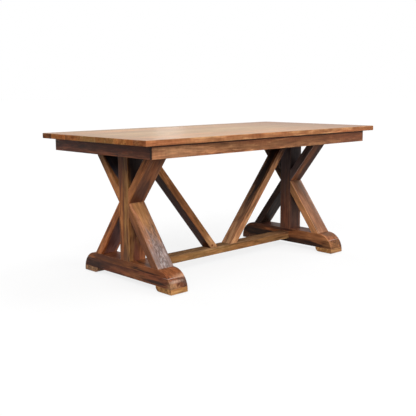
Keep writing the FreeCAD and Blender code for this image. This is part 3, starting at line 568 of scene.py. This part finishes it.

# Stains, painted shade and painted highlights of the trestles, stretcher and struts; the names are
# the middles and the seen faces
LEFT = -0.644
RIGHT = 0.651
LEFT_BRACE = -0.7005
RIGHT_BRACE = 0.5945
LEFT_FOOT = -0.7025
RIGHT_FOOT = 0.5925
FOOT_END = -0.377
STRUT_FRONT = -0.038
STAINS_AND_PAINTED_LIGHT = {
    "left_post": [
        # Painted shade: the upper front face, shaded by the braces and the top.
        ((-0.64, -0.05, 0.62), (0.059, 0.04, 0.22), tone(60, 51, 53), 0.9, 0.3),
        # Painted shade: the top of the left face, under the top.
        ((-0.70, 0.03, 0.66), (0.05, 0.05, 0.2), tone(88, 48, 34), 0.7, 0.5),
        ((-0.64, -0.04, 0.14), (0.059, 0.03, 0.12), tone(130, 64, 50), 0.7, 0.7),
        # Painted shadow of the front braces, a dark band across the front face.
        ((-0.64, -0.04, 0.34), (0.059, 0.03, 0.1), NEAR_BLACK, 0.6, 0.6),
        ((-0.64, -0.04, 0.28), (0.059, 0.01, 0.25), tone(128, 82, 70), 0.4, 0.5),
        ((-0.615, -0.04, 0.19), (0.035, 0.02, 0.16), tone(180, 112, 72), 0.6, 0.8),
        ((-0.70, 0.0, 0.14), (0.03, 0.05, 0.07), tone(84, 50, 34), 0.75, 0.8),
    ],
    "left_front_upper_brace": [
        ((LEFT, -0.16, 0.57), (0.056, 0.5, 0.5), tone(122, 74, 50), 0.75, 0.12),
        ((LEFT, -0.07, 0.44), (0.056, 0.16, 0.19), tone(60, 32, 24), 0.8, 0.55),
        # Painted shade: the top of the left face, under the top.
        ((-0.70, -0.27, 0.76), (0.03, 0.12, 0.16), WALNUT[1], 0.3, 0.7),
        # Painted shade: the top of the wide face, under the apron.
        ((-0.62, -0.24, 0.69), (0.07, 0.12, 0.14), tone(76, 44, 34), 0.6, 0.8),
    ],
    "left_rear_upper_brace": [
        # Painted shade: the wide face in deep shade under the top, bluish grey.
        ((LEFT, 0.2, 0.7), (0.056, 0.3, 0.3), tone(76, 84, 98), 0.92, 0.2),
        # Painted shade: the top of the left face, under the top.
        ((-0.70, 0.25, 0.74), (0.03, 0.13, 0.18), WALNUT[1], 0.6, 0.7),
    ],
    "left_front_lower_brace": [
        # Grey-mauve colour on the lower wide face, partly the wood's own and partly a painted
        # sheen.
        ((LEFT, -0.3, 0.12), (0.09, 0.38, 0.4), MAUVE_AND_PAINTED_SHEEN, 0.9, 0.6),
        # Pale blotches, partly scratches and partly a painted sheen.
        ((-0.65, -0.29, 0.13), (0.06, 0.22, 0.24), tone(186, 176, 174), 0.8, 0.9, 1.0),
        ((LEFT, -0.2, 0.25), (0.07, 0.25, 0.3), COCOA[2], 0.5, 0.9, 1.0),
        ((-0.62, -0.27, 0.15), (0.035, 0.05, 0.06), SMOKE, 0.4, 0.9),
        ((LEFT, -0.07, 0.4), (0.056, 0.16, 0.17), tone(172, 120, 74), 0.8, 0.8),
        ((LEFT_BRACE, -0.15, 0.27), (0.004, 0.4, 0.4), tone(116, 68, 40), 0.9, 0.1),
        ((LEFT_BRACE, -0.07, 0.4), (0.02, 0.12, 0.14), tone(154, 100, 60), 0.6, 0.9),
    ],
    "left_rear_lower_brace": [
        ((LEFT, 0.1, 0.3), (0.056, 0.3, 0.3), tone(124, 80, 78), 0.8, 0.2),
        ((LEFT, 0.05, 0.4), (0.056, 0.16, 0.2), tone(48, 40, 40), 0.7, 0.4),
        ((LEFT, 0.21, 0.13), (0.056, 0.1, 0.07), tone(186, 138, 126), 0.6, 0.8),
    ],
    "right_post": [
        # Painted shade: the post darkened, most at its top, where the braces and the top shade it.
        ((0.65, 0.0, 0.62), (0.2, 0.2, 0.34), tone(88, 73, 73), 0.88, 0.6),
        ((0.65, 0.0, 0.3), (0.2, 0.2, 0.4), tone(96, 70, 64), 0.45, 0.5),
        ((0.59, 0.0, 0.2), (0.06, 0.05, 0.2), BLOOD, 0.4, 0.8),
    ],
    "right_front_upper_brace": [
        # Painted light: the left face made pale grey to lift its deep shade under the top.
        ((RIGHT_BRACE, -0.16, 0.57), (0.006, 0.5, 0.5), tone(134, 116, 112), 0.92, 0.2),
        # Painted shade: the wide face under the top.
        ((0.71, -0.16, 0.57), (0.072, 0.5, 0.5), tone(54, 34, 28), 0.85, 0.5),
        # Painted shade: the top end, under the apron.
        ((RIGHT, -0.28, 0.74), (0.2, 0.12, 0.12), NEAR_BLACK, 0.6, 0.7),
    ],
    "right_front_lower_brace": [
        ((RIGHT, -0.15, 0.27), (0.056, 0.3, 0.3), tone(128, 84, 58), 0.55, 0.2),
        ((0.675, -0.17, 0.28), (0.04, 0.22, 0.26), tone(104, 70, 52), 0.85, 0.9, 0.7),
        ((RIGHT_BRACE, -0.15, 0.27), (0.006, 0.4, 0.4), tone(206, 142, 94), 0.85, 0.4),
        ((RIGHT, -0.07, 0.42), (0.056, 0.12, 0.14), tone(90, 66, 54), 0.6, 0.7),
    ],
    "left_foot_beam": [
        ((-0.70, 0.31, 0.062), (0.04, 0.16, 0.035), NEAR_BLACK, 0.8, 0.8),
        ((-0.70, 0.12, 0.108), (0.05, 0.22, 0.022), RED_BROWN, 0.6, 0.7),
        ((-0.64, 0.2, 0.117), (0.2, 0.22, 0.02), tone(80, 40, 30), 0.45, 0.6),
        ((LEFT_FOOT, -0.27, 0.05), (0.03, 0.09, 0.014), NEAR_BLACK, 0.85, 0.6),
        ((-0.59, FOOT_END, 0.06), (0.055, 0.04, 0.04), SMOKE, 0.85, 0.8),
        ((-0.685, FOOT_END, 0.045), (0.06, 0.04, 0.05), tone(178, 136, 98), 0.6, 0.8),
        # Painted highlight: a pale line along the crease of the rounded end.
        ((-0.66, -0.372, 0.068), (0.07, 0.02, 0.014), tone(206, 176, 156), 0.65, 0.7, 0.0, 0.3),
        # Painted highlight on the rounded end.
        ((-0.615, -0.348, 0.09), (0.06, 0.026, 0.018), tone(200, 154, 122), 0.6, 0.7, 0.0, 0.5),
        ((-0.64, -0.33, 0.11), (0.07, 0.055, 0.03), tone(132, 78, 46), 0.6, 0.6),
        ((-0.64, FOOT_END, 0.05), (0.09, 0.03, 0.06), COCOA[1], 0.25, 0.3),
        ((LEFT_FOOT, -0.09, 0.055), (0.02, 0.14, 0.032), tone(156, 102, 66), 0.5, 0.9),
        ((LEFT_FOOT, 0.2, 0.08), (0.02, 0.19, 0.05), tone(44, 32, 30), 0.4, 0.8),
        ((LEFT_FOOT, -0.2, 0.106), (0.02, 0.12, 0.02), tone(156, 96, 60), 0.45, 0.8),
    ],
    "right_foot_beam": [
        ((0.64, FOOT_END, 0.05), (0.05, 0.03, 0.04), tone(126, 84, 52), 0.7, 0.8),
        ((0.70, FOOT_END, 0.06), (0.05, 0.04, 0.035), tone(60, 42, 34), 0.65, 0.8),
        ((0.65, -0.32, 0.118), (0.07, 0.055, 0.026), tone(112, 74, 50), 0.8, 0.5),
        # Painted highlight: a pale line along the crease of the rounded end.
        ((0.65, -0.372, 0.094), (0.07, 0.02, 0.014), tone(206, 156, 114), 0.75, 0.6),
        ((RIGHT_FOOT, -0.27, 0.1), (0.02, 0.22, 0.034), tone(172, 112, 72), 0.8, 0.6),
        ((RIGHT_FOOT, -0.11, 0.03), (0.02, 0.25, 0.044), NEAR_BLACK, 0.85, 0.4),
        ((0.60, 0.28, 0.06), (0.05, 0.16, 0.05), NEAR_BLACK, 0.85, 0.5),
        ((0.64, 0.1, 0.115), (0.2, 0.3, 0.02), tone(72, 45, 38), 0.85, 0.6),
        ((RIGHT_FOOT, -0.37, 0.06), (0.02, 0.07, 0.045), tone(180, 122, 78), 0.55, 0.8),
    ],
    "right_front_pad": [
        ((0.65, FOOT_END, 0.02), (0.09, 0.01, 0.03), tone(132, 94, 60), 0.65, 0.6, 0.6),
    ],
    "stretcher": [
        # Painted shade: the stretcher's top face, under the table.
        ((0.0, 0.0, 0.098), (ALL, ALL, 0.006), tone(128, 98, 74), 0.6, 0.2),
        ((0.61, 0.0, 0.098), (0.16, 0.2, 0.02), tone(78, 46, 34), 0.7, 0.7),
        ((0.6, -0.036, 0.08), (0.55, 0.01, 0.07), tone(96, 62, 42), 0.45, 0.9),
    ],
    "left_strut": [
        # Painted shade: the underside darkened, and with it the upper face.
        ((-0.33, 0.0, 0.4), (2.0, 0.037, 2.0), tone(58, 30, 24), 0.85, 0.06),
        ((-0.34, STRUT_FRONT, 0.41), (0.24, 0.01, 0.17), tone(96, 62, 42), 0.5, 0.9),
        ((-0.1, STRUT_FRONT, 0.13), (0.1, 0.01, 0.07), tone(206, 156, 110), 0.45, 0.9),
    ],
    "right_strut": [
        ((0.33, 0.0, 0.4), (2.0, 0.037, 2.0), COCOA[1], 0.3, 0.06),
        # Painted shade: the upper part of the left face, under the table.
        ((0.6, 0.0, 0.74), (0.72, 0.0378, 0.82), tone(48, 36, 33), 0.95, 0.5),
        # Painted shade: the head of the strut under the table.
        ((0.56, 0.0, 0.7), (0.17, 0.2, 0.2), tone(50, 27, 24), 0.92, 0.5),
    ],
}
POST_SEAM = 0.008
FOOT_SEAM = 0.083
POST_LAYERS = {"left": (OLIVE, RUST), "right": (CHESTNUT, COCOA)}
FOOT_COLOURS = {"left": MAROON, "right": CHESTNUT}
for hand, start in (("left", 60.0), ("right", 80.0)):
    front_layer, rear_layer = POST_LAYERS[hand]
    paint_wood(f"{hand}_post", ALONG_Z, front_layer, start, stains=STAINS_AND_PAINTED_LIGHT[f"{hand}_post"],
               layer=("Y", POST_SEAM, rear_layer, BLOOD, -1.0))
    paint_wood(f"{hand}_bearer", ALONG_Y, WALNUT, start + 1)
    # On the feet the seam line is a painted highlight along the crease of the rounded end, shown
    # near the ends.
    paint_wood(f"{hand}_foot_beam", ALONG_Y, FOOT_COLOURS[hand], start + 2, veins=0.95,
               soaks=False, layer=("Z", FOOT_SEAM, RUSSET, PAINTED_CREASE_HIGHLIGHT, 0.3),
               stains=STAINS_AND_PAINTED_LIGHT[f"{hand}_foot_beam"], gleam=0.07, polish=0.02)
    for step, (face, level) in enumerate(TILTS, start=3):
        brace = f"{hand}_{face}_{level}"
        dull = hand == "right" and (face, level) != ("front", "lower")
        paint_wood(f"{brace}_brace", TILTS[face, level], BRACE_COLOURS[brace], start + step,
                   stains=STAINS_AND_PAINTED_LIGHT.get(f"{brace}_brace", ()), gleam=0.06 if dull else 0.1,
                   polish=0.0 if dull else 0.05)
    for step, face in enumerate(("front", "rear"), start=8):
        pad = f"{hand}_{face}_pad"
        paint_wood(pad, ALONG_X, PAD_COLOURS[pad], start + step, soaks=False,
                   stains=STAINS_AND_PAINTED_LIGHT.get(pad, ()))
        paint_wood(f"{hand}_{face}_corner_block", ALONG_Z, TAN, start + step + 3)
paint_wood("centre_batten", ALONG_Y, WALNUT, 101.0)
paint_wood("stretcher", ALONG_X, STRAW, 103.0, stains=STAINS_AND_PAINTED_LIGHT["stretcher"], gleam=0.0, polish=0.0)
PLUG = ((-0.0975, STRUT_FRONT, 0.114), (0.007, 0.006, 0.007), tone(92, 30, 20), 0.85, 0.4)
paint_wood("left_strut", (0.0, STRUT_SLOPE, 0.0), HONEY, 105.0, stains=STAINS_AND_PAINTED_LIGHT["left_strut"],
           marks=[PLUG], gleam=0.03, polish=0.0)
paint_wood("right_strut", (0.0, -STRUT_SLOPE, 0.0), SAND, 107.0, stains=STAINS_AND_PAINTED_LIGHT["right_strut"])
for node in ("left_trestle_dowels", "right_trestle_dowels"):
    paint_wood(node, ALONG_Z, TAN, 109.0)
paint_wood("strut_dowels", ALONG_X, TAN, 111.0)

# Fittings
for node in ("top_screws", "corner_block_screws", "apron_clips", "apron_clip_screws", "pad_screws",
             "strut_screws"):
    paint(node, PLATED)
paint("glide_inserts", BRASS)
CORNERS = [f"{hand}_{face}" for hand in ("left", "right") for face in ("front", "rear")]
for corner in CORNERS:
    paint(f"{corner}_glide_base", PLASTIC)


# Threaded studs of the glides: a zigzag of crests and roots, spun up by one pitch a turn

THREAD_PITCH = 0.00125
THREAD_DEPTH = 0.0007
THREAD_STEPS = 20
SAME_PLACE = 1e-6


def cut_level(shape, height, outward):
    everything = shape.verts[:] + shape.edges[:] + shape.faces[:]
    bmesh.ops.bisect_plane(shape, geom=everything, plane_co=(0.0, 0.0, height), plane_no=outward,
                           clear_outer=True)
    rim = [edge for edge in shape.edges
           if edge.is_boundary and all(abs(v.co.z - height) < SAME_PLACE for v in edge.verts)]
    bmesh.ops.holes_fill(shape, edges=rim, sides=0)


def threaded_stud(corner):
    low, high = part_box(f"{corner}_glide_stud")
    centre = (low + high) / 2
    crest = (high.x - low.x) / 2
    turns = math.ceil((high.z - low.z) / THREAD_PITCH) + 3
    start = low.z - 2 * THREAD_PITCH
    shape = bmesh.new()
    last = None
    for step in range(2 * turns + 1):
        radius = crest if step % 2 else crest - THREAD_DEPTH
        point = shape.verts.new((radius, 0.0, start + step * THREAD_PITCH / 2))
        if last:
            shape.edges.new((last, point))
        last = point
    bmesh.ops.spin(shape, geom=shape.verts[:] + shape.edges[:], cent=(0.0, 0.0, 0.0),
                   axis=(0.0, 0.0, 1.0), dvec=(0.0, 0.0, THREAD_PITCH / THREAD_STEPS),
                   angle=2 * math.pi, steps=THREAD_STEPS)
    bmesh.ops.remove_doubles(shape, verts=shape.verts, dist=SAME_PLACE)
    cut_level(shape, low.z, (0.0, 0.0, -1.0))
    cut_level(shape, high.z, (0.0, 0.0, 1.0))
    bmesh.ops.recalc_face_normals(shape, faces=shape.faces)
    bmesh.ops.translate(shape, verts=shape.verts, vec=(centre.x, centre.y, 0.0))
    mesh = bpy.data.meshes.new(f"{corner}_threaded_stud")
    shape.to_mesh(mesh)
    shape.free()
    stud = bpy.data.objects.new(f"{corner}_threaded_stud", mesh)
    bpy.context.scene.collection.objects.link(stud)
    stud.data.materials.append(PLATED)
    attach(stud, f"{corner}_glide")
    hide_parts(f"{corner}_glide_stud")


for corner in CORNERS:
    threaded_stud(corner)


# Arrises of the braces and struts are eased a little

EASE_WIDTH = 0.001
WELD_DISTANCE = 0.00001
SHARP_ANGLE = math.radians(35)


def ease(node):
    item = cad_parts[node]
    weld = item.modifiers.new("join_faces", "WELD")
    weld.merge_threshold = WELD_DISTANCE
    bevel = item.modifiers.new("eased_arris", "BEVEL")
    bevel.width = EASE_WIDTH
    bevel.segments = 2
    bevel.limit_method = "ANGLE"
    bevel.angle_limit = SHARP_ANGLE
    bevel.use_clamp_overlap = False


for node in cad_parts:
    if node.endswith(("_brace", "_strut")):
        ease(node)


# Stage

def panel(name, corners):
    mesh = bpy.data.meshes.new(name)
    shape = bmesh.new()
    shape.faces.new([shape.verts.new(corner) for corner in corners])
    shape.to_mesh(mesh)
    shape.free()
    item = bpy.data.objects.new(name, mesh)
    bpy.context.scene.collection.objects.link(item)
    return item


# What the camera, the gloss and clear things see, apart from what lights the table

def seen_directly(tree):
    rays = add(tree, "LightPath").outputs
    seen = sums(tree, "MAXIMUM", rays["Is Camera Ray"], rays["Is Glossy Ray"])
    return sums(tree, "MAXIMUM", seen, rays["Is Transmission Ray"])


WHITE = (1.0, 1.0, 1.0, 1.0)
FLOOR_SEEN = (0.2, 0.2, 0.2, 1.0)
FLOOR_UNSEEN = (0.03, 0.03, 0.03, 1.0)
FLOOR_GLOW = 0.8


# Seen directly, the floor is white with the table's soft shadow; other rays meet a darker one.

def stage_finish():
    material = bpy.data.materials.new("studio_floor")
    material.use_nodes = True
    tree = material.node_tree
    shader = tree.nodes["Principled BSDF"]
    seen = seen_directly(tree)
    feed(tree, shader.inputs["Base Color"], blended(tree, seen, FLOOR_UNSEEN, FLOOR_SEEN))
    shader.inputs["Roughness"].default_value = 0.9
    shader.inputs["Specular IOR Level"].default_value = 0.0
    shader.inputs["Emission Color"].default_value = WHITE
    feed(tree, shader.inputs["Emission Strength"], sums(tree, "MULTIPLY", seen, FLOOR_GLOW))
    return material


FLOOR_REACH = 60.0
FLOOR_LEVEL = -0.0005
FLOOR_CORNERS = ((-1, -1), (1, -1), (1, 1), (-1, 1))
floor = panel("floor", [(x * FLOOR_REACH, y * FLOOR_REACH, FLOOR_LEVEL) for x, y in FLOOR_CORNERS])
floor.data.materials.append(stage_finish())


# Lights, each with the direction it comes from, its spread in degrees and its power

def sunlight(name, towards, spread, power):
    data = bpy.data.lights.new(name, "SUN")
    data.angle = math.radians(spread)
    data.energy = power
    item = bpy.data.objects.new(name, data)
    item.rotation_euler = Vector(towards).to_track_quat("Z", "Y").to_euler()
    bpy.context.scene.collection.objects.link(item)
    return item


sunlight("front_light", (0.08, -0.98, 0.16), 30.0, 1.75)
sunlight("high_light", (-0.58, -0.58, 0.57), 34.0, 1.9).visible_glossy = False
sunlight("side_light", (-0.98, -0.08, 0.16), 34.0, 0.3)
sunlight("top_light", (0.5, -0.34, 0.8), 26.0, 0.7)
sunlight("back_light", (0.1, 0.98, 0.14), 30.0, 1.1)
sunlight("far_light", (0.98, 0.1, 0.14), 30.0, 0.8)
sunlight("window_light", (0.646, 0.763, 0.06), 2.4, 0.0065)


# The studio's own light comes mostly from above. Seen directly, the studio is white.

OVERHEAD = 0.5
ALL_ROUND = 0.075


def studio_light():
    world = bpy.data.worlds.new("studio")
    bpy.context.scene.world = world
    world.use_nodes = True
    tree = world.node_tree
    height = add(tree, "SeparateXYZ", {0: add(tree, "TexCoord").outputs["Generated"]}).outputs["Z"]
    above = sums(tree, "MAXIMUM", height, 0.0)
    soft = weighed(tree, (above, OVERHEAD), (1.0, ALL_ROUND))
    background = tree.nodes["Background"]
    background.inputs["Color"].default_value = WHITE
    feed(tree, background.inputs["Strength"], sums(tree, "MAXIMUM", seen_directly(tree), soft))


studio_light()

# Camera
CAMERA_PLACE = (-2.9059, -2.9881, 1.0101)
CAMERA_ANGLES = (-43.259, 9.415, -0.337)
CAMERA_LENS = 61.66
SENSOR_WIDTH = 36.0
azimuth, elevation, roll = (math.radians(angle) for angle in CAMERA_ANGLES)
back = Vector((math.sin(azimuth) * math.cos(elevation),
               -math.cos(azimuth) * math.cos(elevation),
               math.sin(elevation)))
level_right = Vector((math.cos(azimuth), math.sin(azimuth), 0.0))
level_up = back.cross(level_right)
right = level_right * math.cos(roll) + level_up * math.sin(roll)
up = level_up * math.cos(roll) - level_right * math.sin(roll)
camera = bpy.data.objects.new("camera", bpy.data.cameras.new("camera"))
camera.data.lens = CAMERA_LENS
camera.data.sensor_width = SENSOR_WIDTH
turned = Matrix((right, up, back)).transposed().to_4x4()
camera.matrix_world = Matrix.Translation(CAMERA_PLACE) @ turned
bpy.context.scene.collection.objects.link(camera)
bpy.context.scene.camera = camera

bpy.context.scene.view_settings.view_transform = "Standard"
